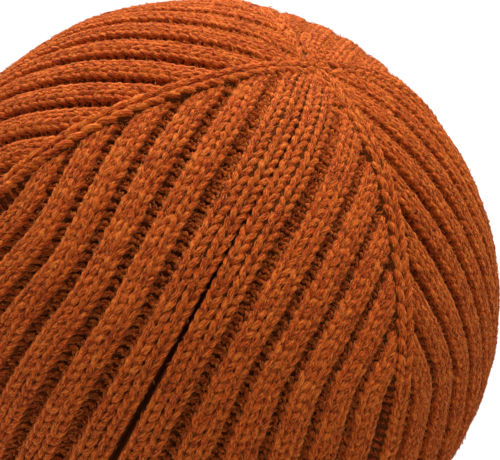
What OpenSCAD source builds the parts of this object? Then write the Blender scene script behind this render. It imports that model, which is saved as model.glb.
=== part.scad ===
// Rib-knit pull-on cap (beret crown) in the fully fashioned way: four gores of 2x2 rib meet along
// four fashioning lines, one gore is closed by the linked back seam, and the mouth is a turned,
// doubled headband. All sizes are in mm. Z points up, the hem stands on Z = 0, the cap's axis is
// the Z axis, and the linked seam is at the back, on the -Y side.

/* [Crown] */
// Radius of the dome, to the middle of the rib relief
crown_radius = 98; // [90:1:106]
// Radius of the turn under the widest ring
under_radius = 48; // [35:1:60]
// Radius of the bend back out into the headband
neck_radius = 14; // [8:1:20]
// Depth of the pinch at the tip
tip_dimple = 1.5; // [0:0.5:4]
// Where the drawn tip sits off the axis, towards the wearer's right
tip_x = -3; // [-8:0.5:8]
// Where the drawn tip sits off the axis, towards the front
tip_y = -2; // [-8:0.5:8]
// How far a gore's middle stands out past the lines beside it
gore_puff = 1; // [0:0.5:4]
// Turn of the gores from the tip to the widest ring, in degrees
wale_turn = 4; // [-10:1:10]

/* [Ribs] */
// Ribs from one fashioning line to the next, with the line's own rib
gore_ribs = 13; // [9:2:17]
// Height of a rib over its groove
rib_rise = 3.2; // [1.5:0.1:4.5]
// Thickness of the knitted fabric
knit_t = 2.6; // [1.6:0.1:3.6]
// Length of a fashioning line, from the tip to the last rib that it takes in
line_length = 96; // [80:1:120]
// Clear way between knitted sections that meet
join_gap = 0.3; // [0.2:0.05:0.5]

/* [Headband] */
// Radius of the headband's outer layer, to the middle of its rib relief
band_radius = 82; // [78:1:86]
// Height of the headband over its fold
band_height = 34; // [20:1:60]
// Height of the fold at the mouth
fold_height = 7; // [5:0.5:10]
// Width of the flat that the fold rests on
fold_flat = 6; // [3:0.5:8]

/* [Seam and threads] */
// Width of the two selvedges turned in along the seam
selvedge_w = 5; // [3:0.5:6]
// Depth of the selvedges inside the cap
selvedge_d = 4; // [2:0.5:6]
// Diameter of the linking yarn
thread_d = 1.4; // [0.8:0.1:2]
// Distance from one linking stitch to the next
stitch_pitch = 5; // [3:0.5:8]
// Radius of the ring of yarn that draws the tip together
draw_radius = 5; // [4:0.5:8]

/* [Hidden] */

rust = "#a54a1c";
rust_light = "#b85a26";
rust_dark = "#7d3413";
yarn = "#8a3c17";

BACK = -90;              // angle of the back gore's middle, where the seam runs
QUARTER = 90;            // angle of one gore
SHOULDER = 0.27;         // share of a rib's pitch taken by each of its flanks
TIP_HALF = 0.2;          // half width of a gore at the tip, in ribs
GORE_START = 0.62;       // half width of a gore where it first shows between the lines, in ribs
FULL_HALF = gore_ribs / 2;
LAST_MERGE = 0.35;       // how softly the last ribs run into the lines, in ribs
ROSETTE_R = 2.6;         // radius of the gathered loops at the very tip
SHAPE_RUN = 70;          // distance from the tip over which puff and turn build up
SHIFT_RUN = 30;          // distance from the tip over which its shift dies away
PINCH_RUN = 15;          // distance from the tip over which its pinch dies away

// The wale's path down the cap: dome, turn under, neck, then straight down the headband
turn_under = acos(1 - (crown_radius - band_radius) / (under_radius + neck_radius));
dome_end = crown_radius * PI / 2;
under_end = dome_end + under_radius * turn_under * PI / 180;
neck_end = under_end + neck_radius * turn_under * PI / 180;
under_drop = under_radius * sin(turn_under);
neck_drop = neck_radius * sin(turn_under);
band_top = fold_height + join_gap + band_height;
widest_z = band_top + join_gap + neck_drop + under_drop;

layer_t = rib_rise + knit_t;                 // whole depth of one ribbed layer
inner_r = band_radius - layer_t - join_gap;  // middle of the inner layer's relief
mouth_r = inner_r - layer_t / 2 - knit_t / 2;

function degrees(a) = a * 180 / PI;
function ease(t) = let (u = min(max(t, 0), 1)) u * u * (3 - 2 * u);

// Angle of the wale below level, at a distance s from the tip
function dip(s) =
    s < dome_end ? degrees(s / crown_radius)
    : s < under_end ? 90 + degrees((s - dome_end) / under_radius)
    : s < neck_end ? 90 + turn_under - degrees((s - under_end) / neck_radius)
    : 90;

// Radius and height of the relief's middle, at a distance s from the tip
function wale_r(s) =
    s < dome_end ? crown_radius * sin(dip(s))
    : s < under_end ? crown_radius - under_radius * (1 - cos(dip(s) - 90))
    : s < neck_end ? band_radius + neck_radius * (1 - cos(dip(s) - 90))
    : band_radius;
function wale_z(s) =
    s < dome_end ? widest_z + crown_radius * cos(dip(s))
    : s < under_end ? widest_z - under_radius * sin(dip(s) - 90)
    : s < neck_end ? widest_z - under_drop - neck_drop + neck_radius * sin(dip(s) - 90)
    : widest_z - under_drop - neck_drop - (s - neck_end);

// Half width of a gore in ribs: it grows evenly down the lines and settles softly at the full
// number. start_of() is the distance from the tip where it reaches a given half width.
function half_ribs(s) =
    let (even = TIP_HALF + (FULL_HALF - TIP_HALF) * s / line_length)
    FULL_HALF - LAST_MERGE * ln(1 + exp((FULL_HALF - even) / LAST_MERGE));
function start_of(half) =
    let (even = FULL_HALF - LAST_MERGE * ln(exp((FULL_HALF - half) / LAST_MERGE) - 1))
    line_length * (even - TIP_HALF) / (FULL_HALF - TIP_HALF);
function rib_pitch(s) = wale_r(s) * PI / 4 / half_ribs(s);
function gap_ribs(s) = join_gap / 2 / rib_pitch(s);

// A point of the fabric: s along the wale, w ribs across from the section's middle,
// lift out of the relief's middle
function fabric(s, w, middle, lift) =
    let (a = middle + QUARTER / 2 * w / half_ribs(s) + wale_turn * (1 - ease(s / SHAPE_RUN)),
         shape = ease(s / SHAPE_RUN) * (1 - ease((s - dome_end) / (neck_end - dome_end))),
         puff = gore_puff / 2 * shape * cos(4 * (a - BACK)),
         pinch = tip_dimple * exp(-pow(s / PINCH_RUN, 2)),
         shift = exp(-pow(s / SHIFT_RUN, 2)),
         r = wale_r(s) + puff + lift * sin(dip(s)))
    [r * cos(a) + tip_x * shift, r * sin(a) + tip_y * shift,
     wale_z(s) - pinch + lift * cos(dip(s))];

// Height of the rib relief where the nearest groove is d ribs away
function relief(d) = rib_rise * (min(1, max(0, d) / SHOULDER) - 0.5);
function gore_lift(s, w) = relief(min(abs(w - round(w)), half_ribs(s) - 0.5 - abs(w)));
function line_lift(w) = relief(0.5 - abs(w));

// A closed shell from a grid of outer points and a grid of inner points, where neighbouring
// points of a row may fall together
module shell_solid(outer, inner) {
    rows = len(outer);
    cols = len(outer[0]);
    n = rows * cols;
    points = concat([for (row = outer) each row], [for (row = inner) each row]);
    function at(j, i) = j * cols + i;
    function same(a, b) = norm(points[a] - points[b]) < 0.001;
    function faces4(a, b, c, d) =
        concat(same(a, b) ? [] : [[a, b, c]], same(c, d) ? [] : [[a, c, d]]);
    faces = concat(
        [for (j = [0 : rows - 2], i = [0 : cols - 2])
            each faces4(at(j, i), at(j, i + 1), at(j + 1, i + 1), at(j + 1, i))],
        [for (j = [0 : rows - 2], i = [0 : cols - 2])
            each faces4(n + at(j, i + 1), n + at(j, i), n + at(j + 1, i), n + at(j + 1, i + 1))],
        [for (j = [0 : rows - 2]) each [
            [at(j, 0), at(j + 1, 0), n + at(j + 1, 0)],
            [at(j, 0), n + at(j + 1, 0), n + at(j, 0)],
            [at(j, cols - 1), n + at(j + 1, cols - 1), at(j + 1, cols - 1)],
            [at(j, cols - 1), n + at(j, cols - 1), n + at(j + 1, cols - 1)]]],
        [for (i = [0 : cols - 2]) each concat(
            same(at(0, i), at(0, i + 1)) ? [] : [
                [at(0, i), n + at(0, i), n + at(0, i + 1)],
                [at(0, i), n + at(0, i + 1), at(0, i + 1)]],
            [[at(rows - 1, i), n + at(rows - 1, i + 1), n + at(rows - 1, i)],
             [at(rows - 1, i), at(rows - 1, i + 1), n + at(rows - 1, i + 1)]])]);
    polyhedron(points, faces);
}

// Rows of a section: at each half rib that the lines let in, then down the side to the band
crown_rows = [for (h = [1 : 0.5 : FULL_HALF - 0.5]) start_of(h)];
last_row = start_of(FULL_HALF - 0.1);
function spaced(a, b, n) = [for (i = [1 : n]) a + (b - a) * i / n];
side_rows = concat([last_row], spaced(last_row, dome_end, 3), spaced(dome_end, under_end, 3),
                   spaced(under_end, neck_end - join_gap, 2));
gore_rows = concat([start_of(GORE_START)], crown_rows, side_rows);
line_rows = concat([ROSETTE_R + 2 * join_gap, start_of(GORE_START)], crown_rows, side_rows);

// Columns over the ribs from one groove to another: a groove, then the two shoulders of the rib
function rib_columns(first, last) =
    concat([for (k = [first : last - 1]) each [k, k + SHOULDER, k + 1 - SHOULDER]], [last]);

// A section of a gore between two edges, each a line's edge or the seam
module gore_section(middle, from_seam, to_seam) {
    last = (gore_ribs - 1) / 2;
    columns = rib_columns(from_seam ? 0 : -last, to_seam ? 0 : last);
    function edge(s) = half_ribs(s) - 0.5 - gap_ribs(s);
    function clipped(s, w) =
        min(to_seam ? -gap_ribs(s) : edge(s), max(from_seam ? gap_ribs(s) : -edge(s), w));
    function row(s, drop) =
        [for (w = columns) let (v = clipped(s, w)) fabric(s, v, middle, gore_lift(s, v) - drop)];
    shell_solid([for (s = gore_rows) row(s, 0)], [for (s = gore_rows) row(s, knit_t)]);
}

// The rib of paired wales that runs between two gores
module line_rib(middle) {
    function edge(s) = min(0.5, half_ribs(s)) - gap_ribs(s);
    function row(s, drop) =
        [for (w = [-0.5, SHOULDER - 0.5, 0.5 - SHOULDER, 0.5])
            let (v = min(edge(s), max(-edge(s), w)))
            fabric(s, v, middle, line_lift(w) - drop)];
    shell_solid([for (s = line_rows) row(s, 0)], [for (s = line_rows) row(s, knit_t)]);
}

module gore_back_left() { color(rust) gore_section(BACK, false, true); }
module gore_back_right() { color(rust) gore_section(BACK, true, false); }
module gore_right() { color(rust) gore_section(BACK + QUARTER, false, false); }
module gore_front() { color(rust) gore_section(BACK + 2 * QUARTER, false, false); }
module gore_left() { color(rust) gore_section(BACK + 3 * QUARTER, false, false); }

module line_back_right() { color(rust_light) line_rib(BACK + QUARTER / 2); }
module line_front_right() { color(rust_light) line_rib(BACK + 3 * QUARTER / 2); }
module line_front_left() { color(rust_light) line_rib(BACK + 5 * QUARTER / 2); }
module line_back_left() { color(rust_light) line_rib(BACK - QUARTER / 2); }

// The last row's loops, gathered into a small button that sinks between the line ribs
module tip_rosette() {
    top = wale_z(0) - tip_dimple + rib_rise / 2;
    color(rust_light)
        translate([tip_x, tip_y, top - layer_t])
            rotate_extrude($fn = 48)
                polygon([[0, 0], [ROSETTE_R - 0.6, 0], [ROSETTE_R, 0.6],
                         [ROSETTE_R, layer_t - 1.4], [ROSETTE_R - 0.7, layer_t - 0.5],
                         [ROSETTE_R - 1.6, layer_t - 0.3], [0, layer_t - 1.2]]);
}

// Height of the deepest fabric around the tip, on the inside
function tip_inside(s) = fabric(s, 0, 0, -rib_rise / 2 - knit_t)[2];
draw_z = tip_inside(draw_radius + thread_d) - join_gap - thread_d / 2;

// The yarn that is run through the last loops and drawn tight, inside the tip
module draw_thread() {
    color(yarn)
        translate([tip_x, tip_y, draw_z])
            rotate_extrude($fn = 48)
                translate([draw_radius, 0])
                    circle(d = thread_d, $fn = 16);
}

// The knot that holds the drawn yarn, with its two cut tails
module draw_knot() {
    knot_r = 1.3 * thread_d;
    tail = 12;
    color(yarn)
        translate([tip_x, tip_y + draw_radius, draw_z - thread_d / 2 - join_gap - knot_r])
            union() {
                sphere(r = knot_r, $fn = 24);
                for (side = [-1, 1])
                    rotate([0, 180 + side * 18, 0])
                        cylinder(d = thread_d, h = tail, $fn = 16);
            }
}

// The two selvedges of the knitted panel, turned in and lying against the seam
seam_rows = concat([for (s = gore_rows) if (s > 4 * draw_radius) s]);
module seam_selvedge() {
    seat = -rib_rise / 2 - knit_t - join_gap;
    function edge(s, side, lift) = fabric(s, side * selvedge_w / 2 / rib_pitch(s), BACK, lift);
    color(rust_dark)
        shell_solid([for (s = seam_rows) [edge(s, -1, seat), edge(s, 1, seat)]],
                    [for (s = seam_rows) [edge(s, -0.8, seat - selvedge_d),
                                          edge(s, 0.8, seat - selvedge_d)]]);
}

// The chain of linking yarn that sews the selvedges together, one short stitch after another
module seam_linking() {
    first = seam_rows[0] + stitch_pitch;
    last = seam_rows[len(seam_rows) - 1] - stitch_pitch;
    lift = -rib_rise / 2 - knit_t - selvedge_d - 2.5 * join_gap - thread_d / 2;
    color(yarn)
        for (s = [first : stitch_pitch : last])
            let (p = fabric(s, 0, BACK, lift))
                translate(p)
                    rotate([0, 90, atan2(p[1] - tip_y * exp(-pow(s / SHIFT_RUN, 2)), p[0]) + 90])
                        cylinder(d = thread_d, h = selvedge_w, center = true, $fn = 16);
}

// One ribbed layer of the headband: a ring of ribs between two heights
module rib_ring(middle_r, low, high) {
    ribs = 4 * gore_ribs;
    function ring(z, drop) = [for (k = [0 : ribs - 1], c = [0, SHOULDER, 1 - SHOULDER])
        let (a = BACK + (k + c) * 360 / ribs, r = middle_r + relief(min(c, 1 - c)) - drop)
        [r * cos(a), r * sin(a)]];
    translate([0, 0, low])
        linear_extrude(high - low)
            difference() {
                polygon(ring(low, 0));
                polygon(ring(low, knit_t));
            }
}

module band_outer() {
    color(rust) rib_ring(band_radius, band_top - band_height, band_top);
}

// The hidden layer stops short, so that its top edge can be linked to the outer one
module band_inner() {
    color(rust_dark) rib_ring(inner_r, band_top - band_height, band_top - stitch_pitch);
}

// The turn of the fabric at the mouth, pressed flat where the cap stands on it
module hem_fold() {
    out = band_radius + layer_t / 2 - knit_t / 2;
    in = mouth_r;
    mid = (out + in) / 2;
    round_w = (out - in - fold_flat) / 2;
    color(rust)
        rotate_extrude($fn = 4 * 4 * gore_ribs)
            polygon(concat(
                [for (i = [0 : 8]) let (a = 90 * i / 8)
                    [in + round_w * (1 - cos(a)), fold_height * (1 - sin(a))]],
                [for (i = [0 : 8]) let (a = 90 * i / 8)
                    [out - round_w * (1 - sin(a)), fold_height * (1 - cos(a))]]));
}

// The row of linking stitches that holds the hidden layer's top edge
module hem_linking() {
    color(yarn)
        for (k = [0 : 4 * gore_ribs - 1])
            rotate([0, 0, BACK + (k + 0.5) * 360 / (4 * gore_ribs)])
                translate([inner_r + rib_rise / 2 - knit_t / 2,
                           0, band_top - stitch_pitch + join_gap + thread_d / 2])
                    rotate([90, 0, 0])
                        cylinder(d = thread_d, h = stitch_pitch, center = true, $fn = 16);
}

gore_back_left();
gore_back_right();
gore_right();
gore_front();
gore_left();
line_back_right();
line_front_right();
line_front_left();
line_back_left();
tip_rosette();
draw_thread();
draw_knot();
seam_selvedge();
seam_linking();
band_outer();
hem_fold();
band_inner();
hem_linking();
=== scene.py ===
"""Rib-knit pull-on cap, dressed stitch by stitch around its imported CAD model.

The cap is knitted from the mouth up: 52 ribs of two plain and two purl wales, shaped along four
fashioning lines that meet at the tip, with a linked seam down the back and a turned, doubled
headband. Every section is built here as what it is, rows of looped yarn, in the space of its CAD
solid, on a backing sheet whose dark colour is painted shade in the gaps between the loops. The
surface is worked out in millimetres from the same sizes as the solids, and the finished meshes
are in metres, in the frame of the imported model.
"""

import logging
import math
from collections.abc import Callable
from dataclasses import dataclass, field
from enum import Enum

import bpy
import numpy as np
from mathutils import Matrix, Vector
from mathutils.bvhtree import BVHTree


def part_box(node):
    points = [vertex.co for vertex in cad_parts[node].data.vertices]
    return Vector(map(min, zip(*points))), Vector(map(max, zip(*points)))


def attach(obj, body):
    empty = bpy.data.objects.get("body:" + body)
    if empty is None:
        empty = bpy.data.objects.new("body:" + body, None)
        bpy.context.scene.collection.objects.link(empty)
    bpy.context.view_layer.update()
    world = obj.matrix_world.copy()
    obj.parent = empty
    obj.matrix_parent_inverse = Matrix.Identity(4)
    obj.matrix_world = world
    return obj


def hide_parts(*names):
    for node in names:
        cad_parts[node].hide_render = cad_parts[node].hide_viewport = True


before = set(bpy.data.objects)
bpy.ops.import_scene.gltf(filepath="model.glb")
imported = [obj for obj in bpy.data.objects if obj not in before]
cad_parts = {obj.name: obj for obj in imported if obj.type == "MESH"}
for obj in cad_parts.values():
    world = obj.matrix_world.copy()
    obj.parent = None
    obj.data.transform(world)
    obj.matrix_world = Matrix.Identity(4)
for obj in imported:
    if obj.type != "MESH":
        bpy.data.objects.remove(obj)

LOG = logging.getLogger("rib_knit_cap")

MM = 0.001
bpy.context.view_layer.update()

HALF_GORE = math.pi / 4  # half the angle that a gore takes up
WOOL_IOR = 1.45
TINY = 1e-9  # keeps the direction of a vanishing vector finite

# Gives a value for each s and w, the distance from the tip and the ribs across
OnFabric = Callable[[np.ndarray, np.ndarray], np.ndarray]

# The photograph's frame, and where its features lie in it, in pixels
PHOTO_W, PHOTO_H = 500, 460
PHOTO_L = max(PHOTO_W, PHOTO_H)
IMAGE_POINTS = {
    "tip": (315, 68),
    "left_groove_2": (218, 78),
    "left_groove_3": (166, 94),
    "left_groove_4": (110, 116),
    "left_groove_5": (59, 145),
    "left_groove_6": (13, 178),
    "right_groove_1": (354, 116),
    "right_groove_2": (378, 163),
    "right_groove_3": (393, 216),
    "right_groove_4": (401, 274),
    "right_groove_5": (405, 334),
    "right_groove_6": (402, 391),
    "seam_high": (233, 237),
    "seam_middle": (187, 322),
    "seam_low": (150, 393),
}


def ease(t: np.ndarray) -> np.ndarray:
    """Smooth step from 0 to 1, flat at both ends."""
    u = np.clip(t, 0.0, 1.0)
    return u * u * (3 - 2 * u)


def unit(vectors: np.ndarray, least: float = 0.0) -> np.ndarray:
    """The directions of vectors, with least added to their lengths."""
    return vectors / (np.linalg.norm(vectors, axis=1, keepdims=True) + least)


def blend(knots: list[np.ndarray], f: np.ndarray) -> np.ndarray:
    """Points of a smooth curve between the second and third of four knots.

    Args:
        knots: The four knots.
        f: How far along the points are, from 0 to 1.

    Returns:
        The points.
    """
    a, b, c, d = knots
    return 0.5 * (
        2 * b + (c - a) * f + (2 * a - 5 * b + 4 * c - d) * f**2
        + (3 * b - a - 3 * c + d) * f**3
    )


def smooth_line(knots: np.ndarray, count: int) -> np.ndarray:
    """A smooth curve through points.

    Args:
        knots: Points to pass, in order.
        count: Samples between two of them.

    Returns:
        Points of the curve, both ends included.
    """
    ends = np.concatenate([2 * knots[:1] - knots[1:2], knots, 2 * knots[-1:] - knots[-2:-1]])
    f = (np.arange(count) / count)[None, :, None]
    curve = blend([ends[k : k + len(knots) - 1, None] for k in range(4)], f)
    return np.concatenate([curve.reshape(-1, knots.shape[1]), knots[-1:]])


def linear(hex_colour: str) -> tuple[float, float, float, float]:
    """Turns an sRGB hex colour to linear RGBA.

    Args:
        hex_colour: Colour such as "#a54a1c".

    Returns:
        Red, green, blue and alpha for a shader socket.
    """
    parts = [int(hex_colour[i : i + 2], 16) / 255 for i in (1, 3, 5)]
    lin = [c / 12.92 if c <= 0.04045 else ((c + 0.055) / 1.055) ** 2.4 for c in parts]
    return (lin[0], lin[1], lin[2], 1.0)


def add_node(
    tree: bpy.types.NodeTree,
    kind: str,
    settings: dict[str, object] | None = None,
    links: dict[object, object] | None = None,
) -> bpy.types.Node:
    """Adds one shader node.

    Args:
        tree: Node tree that takes it.
        kind: Blender's name for the node type.
        settings: Values by socket name or number, or by property name.
        links: Output sockets by the input they go to, by name or number.

    Returns:
        The new node.
    """
    node = tree.nodes.new(kind)
    for key, value in (settings or {}).items():
        if isinstance(key, str) and hasattr(node, key):
            setattr(node, key, value)
        else:
            node.inputs[key].default_value = value
    for key, source in (links or {}).items():
        tree.links.new(source, node.inputs[key])
    return node


def multiply_add(
    tree: bpy.types.NodeTree, source: bpy.types.NodeSocket, factor: float,
    added: bpy.types.NodeSocket | float,
) -> bpy.types.NodeSocket:
    """Adds a node that gives source times factor, plus a value or another socket.

    Args:
        tree: Node tree that takes it.
        source: Socket to multiply.
        factor: What it's multiplied by.
        added: What is added.

    Returns:
        The node's output.
    """
    settings, links = {"operation": "MULTIPLY_ADD", 1: factor}, {0: source}
    (settings if isinstance(added, float) else links)[2] = added
    return add_node(tree, "ShaderNodeMath", settings, links).outputs[0]


def add_ramp(
    tree: bpy.types.NodeTree, source: bpy.types.NodeSocket, stops: list[tuple[float, str]]
) -> bpy.types.NodeSocket:
    """Adds a colour ramp.

    Args:
        tree: Node tree that takes it.
        source: Socket that runs along it.
        stops: Positions and hex colours, from the lowest to the highest.

    Returns:
        The ramp's colour.
    """
    ramp = add_node(tree, "ShaderNodeValToRGB", {}, {"Fac": source})
    elements = ramp.color_ramp.elements
    for k in (0, -1):
        elements[k].position, elements[k].color = stops[k][0], linear(stops[k][1])
    for position, colour in stops[1:-1]:
        elements.new(position).color = linear(colour)
    return ramp.outputs["Color"]


def add_cloth(
    tree: bpy.types.NodeTree, colour: bpy.types.NodeSocket, height: bpy.types.NodeSocket,
    bump: tuple[float, float], settings: dict[str, object],
) -> None:
    """Ends a material with bumped cloth.

    Args:
        tree: Node tree that takes it.
        colour: Its colour.
        height: Its relief.
        bump: The relief's strength, and its height in millimetres.
        settings: Values by the shader's socket names.
    """
    raised = add_node(
        tree, "ShaderNodeBump", {"Strength": bump[0], "Distance": bump[1] * MM},
        {"Height": height},
    ).outputs["Normal"]
    cloth = add_node(
        tree, "ShaderNodeBsdfPrincipled", {"IOR": WOOL_IOR, **settings},
        {"Base Color": colour, "Normal": raised},
    )
    add_node(tree, "ShaderNodeOutputMaterial", {}, {"Surface": cloth.outputs[0]})


def new_material(name: str) -> tuple[bpy.types.Material, bpy.types.NodeTree]:
    """A new material and its node tree, emptied."""
    made = bpy.data.materials.new(name)
    made.use_nodes = True
    made.node_tree.nodes.clear()
    return made, made.node_tree


class Face(Enum):
    """Which side of a loop shows on the outside of the cap."""

    KNIT = 1.0
    PURL = -1.0


class Gore(Enum):
    """The four gores by the angle of their middles, in degrees about the cap's axis."""

    BACK = -90.0
    RIGHT = 0.0
    FRONT = 90.0
    LEFT = 180.0


class Line(Enum):
    """The four fashioning lines by their angles, in degrees about the cap's axis."""

    BACK_RIGHT = -45.0
    FRONT_RIGHT = 45.0
    FRONT_LEFT = 135.0
    BACK_LEFT = -135.0


@dataclass(frozen=True)
class CapSizes:
    """The cap's sizes in millimetres, as in the part's source.

    The headband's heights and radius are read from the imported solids. Two values are fitted to
    the photograph more closely than there: line_length and last_merge. The courses are drawn
    only here.
    """

    # Radii of the crown's dome, of its underside and of the neck above the headband
    crown_radius: float = 98.0
    under_radius: float = 48.0
    neck_radius: float = 14.0
    # The drawn tip, which is dimpled and pulled aside, and the soft gores
    tip_dimple: float = 1.5
    tip_x: float = -3.0
    tip_y: float = -2.0
    gore_puff: float = 1.0
    wale_turn: float = 4.0  # degrees
    shape_run: float = 70.0
    shift_run: float = 30.0
    pinch_run: float = 15.0
    # Gores, and how they narrow towards the tip
    gore_ribs: int = 13
    line_length: float = 94.0
    tip_half: float = 0.2
    last_merge: float = 0.15
    # The knit, its courses and the clearances between sections
    rib_rise: float = 3.2
    knit_t: float = 2.6
    course: float = 2.88
    row_lag: float = 0.26
    join_gap: float = 0.3
    # The seam's selvedges, and the yarn that sews and gathers
    selvedge_w: float = 5.0
    selvedge_d: float = 4.0
    thread_d: float = 1.4

    @property
    def full_half(self) -> float:
        """Half width of a whole gore, in ribs."""
        return self.gore_ribs / 2

    @property
    def band_radius(self) -> float:
        """Radius of the outer headband's relief middle."""
        low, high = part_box("band_outer")
        return (high.x - low.x) / 2 / MM - self.rib_rise / 2

    @property
    def band_top(self) -> float:
        """Height of the headband's top edge."""
        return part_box("band_outer")[1].z / MM

    @property
    def fold_height(self) -> float:
        """Height of the fold at the mouth."""
        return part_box("hem_fold")[1].z / MM

    @property
    def hidden_top(self) -> float:
        """Height of the hidden layer's top edge."""
        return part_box("band_inner")[1].z / MM

    @property
    def layer(self) -> float:
        """Whole depth of one ribbed layer."""
        return self.rib_rise + self.knit_t

    @property
    def hidden_radius(self) -> float:
        """Radius of the hidden layer's relief middle: it faces inward, one layer inside."""
        return self.band_radius - 1.5 * self.layer


class WalePath:
    """The way down one wale, from the tip over the dome to the hidden edge of the headband.

    A table holds, for each distance from the tip, the radius, the height and the angle of the
    outward normal below straight up.
    """

    STEP = 0.25  # between two rows of the table, in millimetres
    FOLD_ROWS = 64

    def __init__(self, sizes: CapSizes) -> None:
        """Works the table out.

        Args:
            sizes: The cap's sizes.
        """
        self.sizes = sizes
        radius, under, neck = sizes.crown_radius, sizes.under_radius, sizes.neck_radius
        turn = math.acos(1 - (radius - sizes.band_radius) / (under + neck))
        self.dome_end = radius * math.pi / 2
        self.under_end = self.dome_end + under * turn
        self.neck_end = self.under_end + neck * turn
        widest = sizes.band_top + sizes.join_gap + (neck + under) * math.sin(turn)

        top = np.arange(0, self.neck_end, self.STEP)
        dip = np.where(
            top < self.dome_end,
            top / radius,
            np.where(
                top < self.under_end,
                math.pi / 2 + (top - self.dome_end) / under,
                math.pi / 2 + turn - (top - self.under_end) / neck,
            ),
        )
        middle = (dip[1:] + dip[:-1]) / 2
        r = np.concatenate([[0], np.cumsum(np.cos(middle) * self.STEP)])
        z = widest + radius - np.concatenate([[0], np.cumsum(np.sin(middle) * self.STEP)])

        out_r, in_r = sizes.band_radius, sizes.hidden_radius
        turn_t = np.linspace(0, math.pi, self.FOLD_ROWS)
        half_w = (out_r - in_r) / 2
        sink = sizes.fold_height - sizes.rib_rise / 2
        straight = np.arange(z[-1] - self.STEP, sizes.fold_height, -self.STEP)
        rise = np.arange(sizes.fold_height + self.STEP, sizes.hidden_top, self.STEP)
        r = np.concatenate(
            [r, np.full(len(straight), out_r), out_r - half_w * (1 - np.cos(turn_t)),
             np.full(len(rise), in_r)]
        )
        z = np.concatenate([z, straight, sizes.fold_height - sink * np.sin(turn_t), rise])
        fold_dip = math.pi / 2 + np.arctan2(np.sin(turn_t) * half_w, sink * np.cos(turn_t))
        self.dip = np.concatenate(
            [dip, np.full(len(straight), math.pi / 2), fold_dip,
             np.full(len(rise), 1.5 * math.pi)]
        )
        length = np.hypot(np.diff(r), np.diff(z))
        self.s = np.concatenate([[0], np.cumsum(length)])
        self.r, self.z = r, z
        self.fold_start = self.s[len(top) + len(straight)]
        self.fold_end = self.s[len(top) + len(straight) + len(turn_t) - 1]
        self.end = self.s[-1]

    def at(self, s: np.ndarray) -> tuple[np.ndarray, np.ndarray, np.ndarray]:
        """Radius, height and normal angle at distances s from the tip."""
        return (
            np.interp(s, self.s, self.r),
            np.interp(s, self.s, self.z),
            np.interp(s, self.s, self.dip),
        )


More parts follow.
